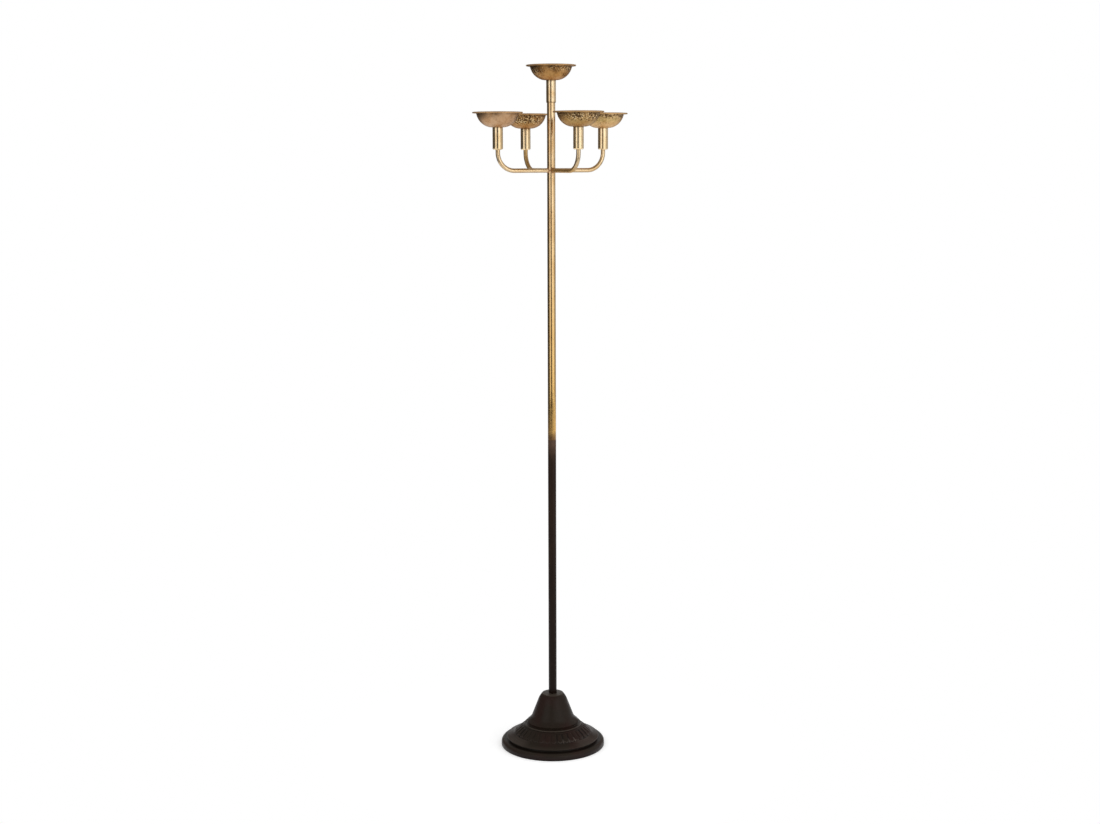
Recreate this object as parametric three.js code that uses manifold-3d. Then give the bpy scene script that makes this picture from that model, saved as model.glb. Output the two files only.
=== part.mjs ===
// Floor candelabrum for five candles: a hollow cast iron base, a post in two lengths of tube, four bent arms in a
// level cross, a turned candle cup on each arm, a long cup over the top of the post, and a spun drip bowl on each
// cup. Millimetres, +Z up, +Y to the back. The origin is on the floor, on the axis of the post.

import * as THREE from "three";
import { mergeVertices } from "three/addons/utils/BufferGeometryUtils.js";
import Module from "manifold-3d";

const wasm = await Module();
wasm.setup();

// Clearances
const BRAZE_GAP = 0.15; // radial gap that brazing fills
const THREAD_GAP = 0.2; // radial gap where the threads engage
const HOLE_GAP = 0.3; // radial gap of a plain hole round what passes through it
const SLIP_GAP = 0.2; // radial play of a piece that lifts off

// Post
const POST_OD = 19;
const POST_WALL = 1.5;
const LOWER_POST_LENGTH = 627;
const UPPER_POST_LENGTH = 799;
const BUSH_LENGTH = 30; // threaded bushes and the plug in the ends of the tubes
const STUD_OD = 10; // thread size of the foot stud and of the joint's shank
const SHANK_LENGTH = 25;

// Base: stations of its outer outline, from the top down, as radius and height
const BASE_HEIGHT = 126.6;
const BASE_WALL = 5;
const PLATEAU_R = 24.6;
const PLATEAU_CHAMFER = 1;
const SHOULDER_WIDTH = 9.6; // rounded shoulder between the plateau and the cone
const SHOULDER_DROP = 14.6;
const SHOULDER_EASE = 7; // how far up the cone's slope the curve of the shoulder is drawn
const CONE_FOOT_R = 49.4;
const CONE_FOOT_Z = 72.6;
const COVE_FOOT_R = 61.2;
const COVE_FOOT_Z = 58.6;
const QUIRK_DEPTH = 5; // groove below the cove
const QUIRK_UNDERCUT = 1.5; // how far it reaches in under the cove
const BEAD_R = 2; // radius of the half round bead's section
const BAND_TOP_R = 67.2;
const BAND_TOP_Z = 49.8;
const BAND_FOOT_R = 96;
const BAND_FOOT_Z = 26.1;
const LIP_R = 109.5; // greatest radius of the overhanging lip below the band
const LIP_Z = 21.2; // height of its fullest part
const LIP_ROUND = 2.4; // radius of its section
const LIP_TURN_UNDER = 8; // degrees that its section turns in below its fullest part
const RECESS_DEPTH = 5; // undercut between the lip and the flange
const FLANGE_R = 123.2;
const FLANGE_HEIGHT = 15.8;
const FLANGE_ROUND = 8.5;
const FLANGE_FOOT_ROUND = 0.8;
const RIM_WIDTH = 10; // flat ring that stands on the floor
const SOCKET_DEPTH = 12.6; // seat of the post in the base
const WEB_THICKNESS = 16; // iron below the seat

// Relief on the base's sloping band
const TONGUE_COUNT = 36;
const TONGUE_HEAD = 9.6; // width at the upper end
const TONGUE_TAIL = 12; // width where the rounded lower end begins
const TONGUE_LENGTH = 24;
const TONGUE_RELIEF = 1.2;
const TONGUE_CHAMFER = 2; // its sloping sides reach down into the band
const RELIEF_FOOT_MARGIN = 7.5; // from the tongues' and darts' lower ends to the band's foot
const DART_WIDTH = 4.4;
const DART_LENGTH = 12;
const DART_RELIEF = 1.1;
const RELIEF_ROOT = 0.8; // how far the relief is rooted in the band

// Fastening under the base
const WASHER_OD = 30;
const WASHER_THICKNESS = 2.5;
const LOCK_WASHER_OD = 18;
const LOCK_WASHER_THICKNESS = 2.6;
const LOCK_WASHER_SLIT = 2;
const NUT_ACROSS_FLATS = 17;
const NUT_HEIGHT = 8;
const STUD_TAIL = 5; // thread that shows below the nut

// Arms
const ROD_OD = 10.6;
const ARM_REACH = 134; // from the post's axis to a cup's axis
const ARM_BEND_R = 40.5;
const ARM_STRAIGHT = 6; // upright stretch between the bend and the cup
const ARM_BELOW_POST_TOP = 175;
const ROD_END_GAP = 0.5; // each rod stops this far short of its neighbours' sides, inside the post

// Candle cups
const CUP_OD = 23.4;
const CUP_CHAMFER = 1;
const CUP_SEAT = 5; // depth of the seat that the rod's end goes into
const CUP_FLOOR = 4;
const CANDLE_BORE = 19.6; // inside of every cup, so that the five bowls can be exchanged
const CUP_WELL = 40.5;
const TOP_CUP_WALL = 1.3;
const TOP_CUP_OVERLAP = 23; // how far the top cup reaches down over the post
const TOP_CUP_WEB = 3; // rests on the end of the post
const TOP_CUP_WELL = 24;

// Screws that hold the cups
const SCREW_OD = 5;
const SCREW_LENGTH = 14;
const SCREW_HEAD_OD = 9;
const SCREW_HEAD_HEIGHT = 3;
const SCREW_SLOT_WIDTH = 1.4;
const SCREW_SLOT_DEPTH = 1.4;
const SCREW_HOLE_SPARE = 3; // tapped hole beyond the screw's end

// Drip bowls
const BOWL_FLANGE_R = 56.8;
const BOWL_FLANGE_THICKNESS = 3;
const BOWL_MOUTH_R = 48;
const BOWL_DEPTH = 34; // from the seat on the cup to the top of the flange
const BOWL_PAD_R = 14; // flat that sits on the cup
const BOWL_WALL = 1.4;
const BOWL_BELLY_R = 23; // this and the shoulder pull the curve of the sheet
const BOWL_SHOULDER_R = 43;
const BOWL_SHOULDER_Z = 7.2;
const COLLAR_WALL = 0.7;
const COLLAR_DEPTH = 16; // below the bowl's seat
const COLLAR_FLANGE_WIDTH = 3.4;
const COLLAR_FLANGE_THICKNESS = 1;

// Facets
const BASE_SIDES = TONGUE_COUNT; // each tongue lies in the middle of one facet, each dart on an edge between two
const BOWL_SIDES = 24;
const TUBE_SIDES = 24;
const CUP_SIDES = 18;
const HIDDEN_SIDES = 16;
const ROD_SIDES = 10;
const BEND_STEPS = 8;
const BOWL_STEPS = 4;
const MOULDING_STEPS = 3;
const SHOULDER_STEPS = 2;
const LIP_STEPS = 3;
const TONGUE_STEPS = 2;
const MERGE_DISTANCE = 1e-4;

// Heights that follow from the sizes above
const socketFloor = BASE_HEIGHT - SOCKET_DEPTH;
const webUnder = socketFloor - WEB_THICKNESS;
const jointZ = socketFloor + LOWER_POST_LENGTH;
const postTop = jointZ + UPPER_POST_LENGTH;
const armZ = postTop - ARM_BELOW_POST_TOP;
const cupFoot = armZ + ARM_BEND_R + ARM_STRAIGHT;
const rodTop = cupFoot + CUP_SEAT;
const cupFloorTop = rodTop + CUP_FLOOR;
const cupTop = cupFloorTop + CUP_WELL;
const topCupFoot = postTop - TOP_CUP_OVERLAP;
const topCupTop = postTop + TOP_CUP_WEB + TOP_CUP_WELL;

// Radii that follow from the sizes above
const postR = POST_OD / 2;
const postBoreR = postR - POST_WALL;
const bushR = postBoreR - BRAZE_GAP;
const studR = STUD_OD / 2;
const rodR = ROD_OD / 2;
const boreR = CANDLE_BORE / 2;
const collarR = boreR - SLIP_GAP;

const METALS = {
  iron: { color: 0x2b221e, roughness: 0.62, metalness: 0.7 },
  darkTube: { color: 0x2a211c, roughness: 0.45, metalness: 0.75 },
  steel: { color: 0x6f6a63, roughness: 0.45, metalness: 1 },
  brass: { color: 0xb98f4a, roughness: 0.32, metalness: 1 },
  bowl: { color: 0x9a7242, roughness: 0.5, metalness: 0.9 },
};

const group = new THREE.Group();

// A closed solid from a three.js geometry: shared corners are merged and triangles without area are dropped.
function solidFrom(geometry) {
  const loose = geometry.index ? geometry.toNonIndexed() : geometry;
  const bare = new THREE.BufferGeometry();
  bare.setAttribute("position", loose.getAttribute("position"));
  const merged = mergeVertices(bare, MERGE_DISTANCE);
  const corners = merged.index.array;
  const kept = [];
  for (let i = 0; i < corners.length; i += 3) {
    const [a, b, c] = corners.slice(i, i + 3);
    if (a !== b && b !== c && c !== a) kept.push(a, b, c);
  }
  return new wasm.Manifold(
    new wasm.Mesh({
      numProp: 3,
      vertProperties: merged.getAttribute("position").array,
      triVerts: new Uint32Array(kept),
    }),
  );
}

// Adds a solid to a parent as a named mesh.
function place(name, solid, metal, parent = group) {
  const made = solid.getMesh();
  const geometry = new THREE.BufferGeometry();
  geometry.setAttribute("position", new THREE.BufferAttribute(made.vertProperties, 3));
  geometry.setIndex(new THREE.BufferAttribute(made.triVerts, 1));
  geometry.computeVertexNormals();
  const mesh = new THREE.Mesh(geometry, new THREE.MeshStandardMaterial(METALS[metal]));
  mesh.name = name;
  parent.add(mesh);
  return mesh;
}

// Revolves an outline of [radius, height] points about the Z axis, with a corner of its facets at +X. The outline
// may start and end on the axis, or it is closed on itself.
function revolve(outline, sides) {
  const points = outline.map(([r, z]) => new THREE.Vector2(r, z));
  if (THREE.ShapeUtils.area(points) < 0) points.reverse();
  const onAxis = points[0].x === 0 && points[points.length - 1].x === 0;
  if (!onAxis) points.push(points[0].clone());
  return solidFrom(new THREE.LatheGeometry(points, sides, Math.PI / 2).rotateX(Math.PI / 2));
}

function ring(innerR, outerR, foot, top, sides) {
  return revolve(
    [
      [innerR, foot],
      [outerR, foot],
      [outerR, top],
      [innerR, top],
    ],
    sides,
  );
}

function cylinder(r, foot, top, sides) {
  const upright = new THREE.CylinderGeometry(r, r, top - foot, sides).rotateX(Math.PI / 2);
  return solidFrom(upright.translate(0, 0, (foot + top) / 2));
}

// The [radius, height] points of a curve, without its first point.
function curvePoints(curve, steps) {
  return curve
    .getPoints(steps)
    .slice(1)
    .map((p) => [p.x, p.y]);
}

// An arc of [radius, height] points from one angle to another, in degrees, about a centre.
function arc(centreR, centreZ, radius, fromDegrees, toDegrees, steps) {
  const points = [];
  for (let i = 0; i <= steps; i++) {
    const angle = THREE.MathUtils.degToRad(fromDegrees + ((toDegrees - fromDegrees) * i) / steps);
    points.push([centreR + radius * Math.cos(angle), centreZ + radius * Math.sin(angle)]);
  }
  return points;
}

// The base's outline: seat for the post, plateau, shoulder, cone, cove, quirk, bead, sloping band, lip, recess and
// rounded flange, then the hollow under it, one wall's thickness inside.
function baseOutline() {
  const bandFall = new THREE.Vector2(BAND_FOOT_R - BAND_TOP_R, BAND_FOOT_Z - BAND_TOP_Z).normalize();
  const bandOut = new THREE.Vector2(-bandFall.y, bandFall.x);
  const coneTopR = PLATEAU_R + SHOULDER_WIDTH;
  const coneTopZ = BASE_HEIGHT - SHOULDER_DROP;
  const coneFall = new THREE.Vector2(CONE_FOOT_R - coneTopR, CONE_FOOT_Z - coneTopZ).normalize();
  const coneOut = new THREE.Vector2(-coneFall.y, coneFall.x);

  const shoulder = new THREE.QuadraticBezierCurve(
    new THREE.Vector2(PLATEAU_R + PLATEAU_CHAMFER, BASE_HEIGHT - PLATEAU_CHAMFER),
    new THREE.Vector2(coneTopR, coneTopZ).addScaledVector(coneFall, -SHOULDER_EASE),
    new THREE.Vector2(coneTopR, coneTopZ),
  );

  // The cove leaves the cone along its slope and arrives at the foot along the band's slope.
  const coveReach = CONE_FOOT_Z - COVE_FOOT_Z;
  const cove = new THREE.CubicBezierCurve(
    new THREE.Vector2(CONE_FOOT_R, CONE_FOOT_Z),
    new THREE.Vector2(CONE_FOOT_R, CONE_FOOT_Z).addScaledVector(coneFall, coveReach / 2),
    new THREE.Vector2(COVE_FOOT_R, COVE_FOOT_Z).addScaledVector(bandFall, -coveReach / 3),
    new THREE.Vector2(COVE_FOOT_R, COVE_FOOT_Z),
  );
  const beadTilt = THREE.MathUtils.radToDeg(bandFall.angle()) - 360;
  const beadR = BAND_TOP_R - BEAD_R * bandFall.x;
  const beadZ = BAND_TOP_Z - BEAD_R * bandFall.y;

  const bandOutDegrees = THREE.MathUtils.radToDeg(bandOut.angle());
  const lip = arc(LIP_R - LIP_ROUND, LIP_Z, LIP_ROUND, bandOutDegrees, -LIP_TURN_UNDER, LIP_STEPS);
  const lipUnder = lip[LIP_STEPS][1];

  const hollowConeFoot = [CONE_FOOT_R - BASE_WALL * coneOut.x, CONE_FOOT_Z - BASE_WALL * coneOut.y];
  const hollowTopR = hollowConeFoot[0] + ((webUnder - hollowConeFoot[1]) * coneFall.x) / coneFall.y;
  const seatR = postR + HOLE_GAP;
  const studHoleR = studR + HOLE_GAP;
  return [
    [studHoleR, webUnder],
    [studHoleR, socketFloor],
    [seatR, socketFloor],
    [seatR, BASE_HEIGHT],
    [PLATEAU_R, BASE_HEIGHT],
    [PLATEAU_R + PLATEAU_CHAMFER, BASE_HEIGHT - PLATEAU_CHAMFER],
    ...curvePoints(shoulder, SHOULDER_STEPS),
    [CONE_FOOT_R, CONE_FOOT_Z],
    ...curvePoints(cove, MOULDING_STEPS),
    [COVE_FOOT_R - QUIRK_UNDERCUT, COVE_FOOT_Z - QUIRK_DEPTH],
    ...arc(beadR, beadZ, BEAD_R, beadTilt + 160, beadTilt, MOULDING_STEPS),
    [BAND_FOOT_R, BAND_FOOT_Z],
    ...lip,
    [LIP_R - RECESS_DEPTH, lipUnder],
    [LIP_R - RECESS_DEPTH, FLANGE_HEIGHT],
    ...arc(FLANGE_R - FLANGE_ROUND, FLANGE_HEIGHT - FLANGE_ROUND, FLANGE_ROUND, 90, 0, MOULDING_STEPS),
    [FLANGE_R, FLANGE_FOOT_ROUND],
    [FLANGE_R - FLANGE_FOOT_ROUND, 0],
    [FLANGE_R - RIM_WIDTH, 0],
    [BAND_FOOT_R - BASE_WALL * bandOut.x, BAND_FOOT_Z - BASE_WALL * bandOut.y],
    [BAND_TOP_R - BASE_WALL * bandOut.x, BAND_TOP_Z - BASE_WALL * bandOut.y],
    hollowConeFoot,
    [hollowTopR, webUnder],
  ];
}

// One tongue of the relief, lying in the XY plane with its rounded end towards +X and its face towards +Z.
function tongue() {
  const inset = TONGUE_CHAMFER;
  const head = TONGUE_HEAD / 2 - inset;
  const tail = TONGUE_TAIL / 2 - inset;
  const tailX = TONGUE_LENGTH - TONGUE_TAIL / 2;
  const outline = new THREE.Shape();
  outline.moveTo(inset, -head);
  outline.lineTo(tailX, -tail);
  outline.absarc(tailX, 0, tail, -Math.PI / 2, Math.PI / 2, false);
  outline.lineTo(inset, head);
  const geometry = new THREE.ExtrudeGeometry(outline, {
    depth: RELIEF_ROOT,
    curveSegments: TONGUE_STEPS,
    bevelThickness: TONGUE_CHAMFER,
    bevelSize: TONGUE_CHAMFER,
    bevelSegments: 1,
  });
  return geometry.translate(0, 0, TONGUE_RELIEF - TONGUE_CHAMFER - RELIEF_ROOT);
}

// One dart, a low three sided point between two tongues, lying as a tongue does with its tip towards -X.
function dart() {
  const height = RELIEF_ROOT + DART_RELIEF;
  const point = new THREE.ConeGeometry(DART_LENGTH / 1.5, height, 3).rotateX(Math.PI / 2).rotateZ(-Math.PI / 2);
  point.scale(1, DART_WIDTH / DART_LENGTH, 1);
  return point.translate(DART_LENGTH / 1.5, 0, height / 2 - RELIEF_ROOT);
}

// Lays a relief figure on the band with its lower end a margin short of the band's foot, at an angle about Z.
function layOnBand(geometry, length, turn) {
  const fall = new THREE.Vector3(BAND_FOOT_R - BAND_TOP_R, 0, BAND_FOOT_Z - BAND_TOP_Z).normalize();
  const across = new THREE.Vector3(0, 1, 0);
  const out = new THREE.Vector3().crossVectors(fall, across);
  const start = new THREE.Vector3(BAND_FOOT_R, 0, BAND_FOOT_Z).addScaledVector(fall, -length - RELIEF_FOOT_MARGIN);
  const lie = new THREE.Matrix4().makeBasis(fall, across, out).setPosition(start);
  const spin = new THREE.Matrix4().makeRotationZ(turn);
  return solidFrom(geometry.applyMatrix4(spin.multiply(lie)));
}

function makeBase() {
  const figures = [revolve(baseOutline(), BASE_SIDES)];
  const pitch = (2 * Math.PI) / TONGUE_COUNT;
  for (let i = 0; i < TONGUE_COUNT; i++) {
    figures.push(layOnBand(dart(), DART_LENGTH, i * pitch));
    figures.push(layOnBand(tongue(), TONGUE_LENGTH, (i + 0.5) * pitch));
  }
  place("base_casting", wasm.Manifold.union(figures), "iron");
}

// Washer, lock washer and nut under the base's web, and the stud that they hold.
function makeFootFastening() {
  const washerFoot = webUnder - WASHER_THICKNESS;
  const lockFoot = washerFoot - LOCK_WASHER_THICKNESS;
  const nutFoot = lockFoot - NUT_HEIGHT;
  const holeR = studR + HOLE_GAP;
  place("base_washer", ring(holeR, WASHER_OD / 2, washerFoot, webUnder, HIDDEN_SIDES), "steel");

  const slit = new THREE.BoxGeometry(LOCK_WASHER_OD, LOCK_WASHER_SLIT, 2 * LOCK_WASHER_THICKNESS);
  const slitCut = solidFrom(slit.translate(LOCK_WASHER_OD / 2, 0, lockFoot));
  const lockRing = ring(holeR, LOCK_WASHER_OD / 2, lockFoot, washerFoot, HIDDEN_SIDES);
  const slitLift = slitCut.translate([0, 0, LOCK_WASHER_THICKNESS / 2]);
  place("base_lock_washer", lockRing.subtract(slitLift), "steel");

  const nutCornerR = NUT_ACROSS_FLATS / 2 / Math.cos(Math.PI / 6);
  const blank = cylinder(nutCornerR, nutFoot, lockFoot, 6);
  const bevel = nutCornerR - NUT_ACROSS_FLATS / 2;
  const turned = revolve(
    [
      [0, nutFoot],
      [NUT_ACROSS_FLATS / 2, nutFoot],
      [nutCornerR + bevel, nutFoot + bevel],
      [nutCornerR + bevel, lockFoot],
      [0, lockFoot],
    ],
    HIDDEN_SIDES,
  );
  const threadHole = cylinder(studR + THREAD_GAP, nutFoot - 1, lockFoot + 1, ROD_SIDES);
  place("base_nut", blank.intersect(turned).subtract(threadHole), "steel");

  const studTop = socketFloor + BUSH_LENGTH - THREAD_GAP;
  place("foot_stud", cylinder(studR, nutFoot - STUD_TAIL, studTop, ROD_SIDES), "steel");
}

// The tubes of the post, with the bushes and the spigot in their ends.
function makePost() {
  place("lower_post", ring(postBoreR, postR, socketFloor, jointZ, TUBE_SIDES), "darkTube");
  const threadHoleR = studR + THREAD_GAP;
  const footBushTop = socketFloor + BUSH_LENGTH;
  place("foot_bush", ring(threadHoleR, bushR, socketFloor, footBushTop, HIDDEN_SIDES), "steel");
  place("joint_bush", ring(threadHoleR, bushR, jointZ - BUSH_LENGTH, jointZ, HIDDEN_SIDES), "steel");
  const spigot = [
    [0, jointZ - SHANK_LENGTH],
    [studR, jointZ - SHANK_LENGTH],
    [studR, jointZ],
    [bushR, jointZ],
    [bushR, jointZ + BUSH_LENGTH],
    [0, jointZ + BUSH_LENGTH],
  ];
  place("joint_spigot", revolve(spigot, HIDDEN_SIDES), "steel");

  let upper = ring(postBoreR, postR, jointZ, postTop, TUBE_SIDES);
  for (const turn of [0, Math.PI / 2]) {
    const drill = new THREE.CylinderGeometry(rodR + HOLE_GAP, rodR + HOLE_GAP, 2 * POST_OD, HIDDEN_SIDES);
    upper = upper.subtract(solidFrom(drill.rotateZ(Math.PI / 2).rotateZ(turn).translate(0, 0, armZ)));
  }
  place("upper_post", upper, "brass");
}

// Centre line of an arm in its own XZ plane: out from the post, round the bend and up into the cup. Its stations
// lie only where the rod turns, so each straight stretch takes one step.
class ArmLine extends THREE.Curve {
  getPointAt(u, target = new THREE.Vector3()) {
    const station = u * ArmLine.steps;
    const bendStartX = ARM_REACH - ARM_BEND_R;
    if (station <= 1) {
      const innerX = rodR + ROD_END_GAP;
      return target.set(THREE.MathUtils.lerp(innerX, bendStartX, station), 0, armZ);
    }
    const turned = Math.min((station - 1) / BEND_STEPS, 1) * (Math.PI / 2);
    const bendTop = armZ + ARM_BEND_R;
    const rise = Math.max(station - 1 - BEND_STEPS, 0) * (rodTop - bendTop);
    const x = bendStartX + ARM_BEND_R * Math.sin(turned);
    return target.set(x, 0, bendTop - ARM_BEND_R * Math.cos(turned) + rise);
  }

  getTangentAt(u, target = new THREE.Vector3()) {
    const turned = THREE.MathUtils.clamp((u * ArmLine.steps - 1) / BEND_STEPS, 0, 1) * (Math.PI / 2);
    return target.set(Math.cos(turned), 0, Math.sin(turned));
  }
}
ArmLine.steps = BEND_STEPS + 2;

function armSolid() {
  const section = new THREE.Shape();
  for (let i = 0; i < ROD_SIDES; i++) {
    const angle = (2 * Math.PI * i) / ROD_SIDES;
    const move = i === 0 ? "moveTo" : "lineTo";
    section[move](rodR * Math.cos(angle), rodR * Math.sin(angle));
  }
  const sweep = { steps: ArmLine.steps, extrudePath: new ArmLine() };
  const rod = solidFrom(new THREE.ExtrudeGeometry(section, sweep));
  const tappedR = SCREW_OD / 2 + THREAD_GAP;
  const holeFoot = cupFloorTop - SCREW_LENGTH - SCREW_HOLE_SPARE;
  const hole = cylinder(tappedR, holeFoot, rodTop + 1, ROD_SIDES);
  return rod.subtract(hole.translate([ARM_REACH, 0, 0]));
}

function cupSolid() {
  const seatR = rodR + BRAZE_GAP;
  const cupR = CUP_OD / 2;
  return revolve(
    [
      [seatR, cupFoot],
      [cupR - CUP_CHAMFER, cupFoot],
      [cupR, cupFoot + CUP_CHAMFER],
      [cupR, cupTop],
      [boreR, cupTop],
      [boreR, cupFloorTop],
      [SCREW_OD / 2 + HOLE_GAP, cupFloorTop],
      [SCREW_OD / 2 + HOLE_GAP, rodTop],
      [seatR, rodTop],
    ],
    CUP_SIDES,
  );
}

// Slotted cheese head screw, head up, through the cup's floor into the end of the rod.
function screwSolid() {
  const headTop = cupFloorTop + SCREW_HEAD_HEIGHT;
  const body = revolve(
    [
      [0, cupFloorTop - SCREW_LENGTH],
      [SCREW_OD / 2, cupFloorTop - SCREW_LENGTH],
      [SCREW_OD / 2, cupFloorTop],
      [SCREW_HEAD_OD / 2, cupFloorTop],
      [SCREW_HEAD_OD / 2, headTop],
      [0, headTop],
    ],
    ROD_SIDES,
  );
  const slot = new THREE.BoxGeometry(2 * SCREW_HEAD_OD, SCREW_SLOT_WIDTH, 2 * SCREW_SLOT_DEPTH);
  return body.subtract(solidFrom(slot.translate(0, 0, headTop)));
}

// The top cup sleeves the end of the post, rests on it with its web and holds the candle above the web.
function makeTopCup() {
  const sleeveR = postR + HOLE_GAP;
  const outerR = Math.max(sleeveR, boreR) + TOP_CUP_WALL;
  place(
    "top_cup",
    revolve(
      [
        [sleeveR, topCupFoot],
        [outerR, topCupFoot],
        [outerR, topCupTop],
        [boreR, topCupTop],
        [boreR, postTop + TOP_CUP_WEB],
        [0, postTop + TOP_CUP_WEB],
        [0, postTop],
        [sleeveR, postTop],
      ],
      TUBE_SIDES,
    ),
    "brass",
  );
}

// Outline of the bowl's sheet as an open line from the floor hole to the flange, on the outer or the inner side.
function bowlLine(inset) {
  const underFlange = BOWL_DEPTH - BOWL_FLANGE_THICKNESS;
  const wall = new THREE.CubicBezierCurve(
    new THREE.Vector2(BOWL_PAD_R, inset),
    new THREE.Vector2(BOWL_BELLY_R - inset / 2, inset),
    new THREE.Vector2(BOWL_SHOULDER_R - inset, BOWL_SHOULDER_Z + inset / 2),
    new THREE.Vector2(BOWL_MOUTH_R - inset, underFlange + (inset > 0 ? BOWL_FLANGE_THICKNESS : 0)),
  );
  return [[BOWL_PAD_R, inset], ...curvePoints(wall, BOWL_STEPS)];
}

// Spun drip bowl, standing on the given height.
function bowlSolid(seat) {
  const holeR = collarR + BRAZE_GAP;
  const edgeR = BOWL_FLANGE_THICKNESS / 2;
  const outline = [
    [holeR, 0],
    ...bowlLine(0),
    ...arc(BOWL_FLANGE_R - edgeR, BOWL_DEPTH - edgeR, edgeR, -90, 90, 2),
    ...bowlLine(BOWL_WALL).reverse(),
    [holeR, BOWL_WALL],
  ];
  return revolve(outline.map(([r, z]) => [r, z + seat]), BOWL_SIDES);
}

// Flanged collar in the bowl's floor: its tube drops into the cup, and its flange lies on the sheet.
function collarSolid(seat) {
  const innerR = collarR - COLLAR_WALL;
  const flangeR = collarR + COLLAR_FLANGE_WIDTH;
  const flangeFoot = seat + BOWL_WALL;
  const flangeTop = flangeFoot + COLLAR_FLANGE_THICKNESS;
  return revolve(
    [
      [innerR, seat - COLLAR_DEPTH],
      [collarR, seat - COLLAR_DEPTH],
      [collarR, flangeFoot],
      [flangeR, flangeFoot],
      [flangeR, flangeTop],
      [innerR, flangeTop],
    ],
    HIDDEN_SIDES,
  );
}

// The four arms, with what each one carries, in groups turned about the post.
function makeArms() {
  ["right", "back", "left", "front"].forEach((side, quarter) => {
    const turned = new THREE.Group();
    turned.rotation.z = (quarter * Math.PI) / 2;
    place("arm_" + side, armSolid(), "brass", turned);
    const head = new THREE.Group();
    head.position.x = ARM_REACH;
    place("cup_" + side, cupSolid(), "brass", head);
    place("screw_" + side, screwSolid(), "steel", head);
    place("bowl_" + side, bowlSolid(cupTop), "bowl", head);
    place("collar_" + side, collarSolid(cupTop), "bowl", head);
    turned.add(head);
    group.add(turned);
  });
}

makeBase();
makeFootFastening();
makePost();
makeArms();
makeTopCup();
place("bowl_top", bowlSolid(topCupTop), "bowl");
place("collar_top", collarSolid(topCupTop), "bowl");

export default group;
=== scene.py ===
"""Looks of the five-light floor candelabrum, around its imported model. Metres, +Z up, the post on the Z axis."""

import math

import bpy
from mathutils import Matrix, Vector


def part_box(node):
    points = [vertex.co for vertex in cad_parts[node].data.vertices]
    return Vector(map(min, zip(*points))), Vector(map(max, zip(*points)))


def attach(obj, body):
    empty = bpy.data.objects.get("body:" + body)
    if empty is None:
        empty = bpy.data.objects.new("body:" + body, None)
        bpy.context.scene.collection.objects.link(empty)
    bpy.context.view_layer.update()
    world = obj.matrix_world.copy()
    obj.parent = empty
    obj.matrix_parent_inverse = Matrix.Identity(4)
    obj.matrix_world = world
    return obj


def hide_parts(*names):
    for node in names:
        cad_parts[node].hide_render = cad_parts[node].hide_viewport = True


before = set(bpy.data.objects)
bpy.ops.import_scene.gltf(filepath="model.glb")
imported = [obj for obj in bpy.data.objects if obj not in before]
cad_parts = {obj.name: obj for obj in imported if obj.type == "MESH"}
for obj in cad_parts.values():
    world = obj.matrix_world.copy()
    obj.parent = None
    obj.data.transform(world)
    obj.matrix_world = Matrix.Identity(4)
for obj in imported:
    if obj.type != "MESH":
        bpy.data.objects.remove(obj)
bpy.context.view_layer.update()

MM = 0.001
SIDES = ("right", "back", "left", "front")

# Heights and radii that the frame gives
POST_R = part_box("upper_post")[1].x
JOINT_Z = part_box("upper_post")[0].z
POST_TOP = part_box("upper_post")[1].z
POST_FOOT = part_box("lower_post")[0].z
CUP_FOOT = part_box("cup_right")[0].z
CUP_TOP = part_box("cup_right")[1].z
CUP_R = (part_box("cup_right")[1].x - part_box("cup_right")[0].x) / 2
ARM_REACH = (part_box("cup_right")[1].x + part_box("cup_right")[0].x) / 2
ARM_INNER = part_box("arm_right")[0].x
ROD_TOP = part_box("arm_right")[1].z
ROD_R = (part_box("arm_right")[1].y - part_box("arm_right")[0].y) / 2
ARM_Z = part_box("arm_right")[0].z + ROD_R
TOP_CUP_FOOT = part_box("top_cup")[0].z
TOP_CUP_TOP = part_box("top_cup")[1].z
TOP_CUP_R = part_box("top_cup")[1].x
BOWL_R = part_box("bowl_top")[1].x
BOWL_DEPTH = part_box("bowl_top")[1].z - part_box("bowl_top")[0].z
FLANGE_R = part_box("base_casting")[1].x
BASE_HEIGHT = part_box("base_casting")[1].z

# Sizes inside the pieces
POST_WALL = 1.5 * MM
ARM_BEND_R = 40.5 * MM
CANDLE_BORE_R = 9.8 * MM
SLEEVE_BORE_R = POST_R + 0.3 * MM
SOFT_EDGE = 0.35 * MM


def shaded(name, vertices, faces, material, sharp=50):
    """A smooth shaded mesh object, with its edges sharp where its faces turn more than that many degrees."""
    mesh = bpy.data.meshes.new(name)
    mesh.from_pydata(vertices, [], faces)
    mesh.validate()
    mesh.shade_smooth()
    mesh.set_sharp_from_angle(angle=math.radians(sharp))
    mesh.materials.append(material)
    piece = bpy.data.objects.new(name, mesh)
    bpy.context.scene.collection.objects.link(piece)
    return piece


def soften(outline, radius=SOFT_EDGE, steps=3):
    """A closed outline with each corner rounded, as (r, z, wear), where wear is 1 on corners that stand out."""
    count = len(outline)
    soft = []
    for i, here in enumerate(outline):
        before, after = outline[i - 1], outline[(i + 1) % count]
        into = Vector((here[0] - before[0], here[1] - before[1]))
        out = Vector((after[0] - here[0], after[1] - here[1]))
        turn = math.atan2(into.x * out.y - into.y * out.x, into.dot(out))
        if abs(turn) < math.radians(25) or here[0] == 0:
            soft.append((here[0], here[1], 0.0))
            continue
        cut = min(radius * math.tan(abs(turn) / 2), 0.45 * into.length, 0.45 * out.length)
        corner = Vector(here[:2])
        start = corner - into.normalized() * cut
        end = corner + out.normalized() * cut
        wear_and_highlight = 1.0 if turn > 0 else 0.0
        for k in range(steps + 1):
            t = k / steps
            point = (1 - t) ** 2 * start + 2 * t * (1 - t) * corner + t * t * end
            soft.append((point.x, point.y, wear_and_highlight))
    return soft


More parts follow.
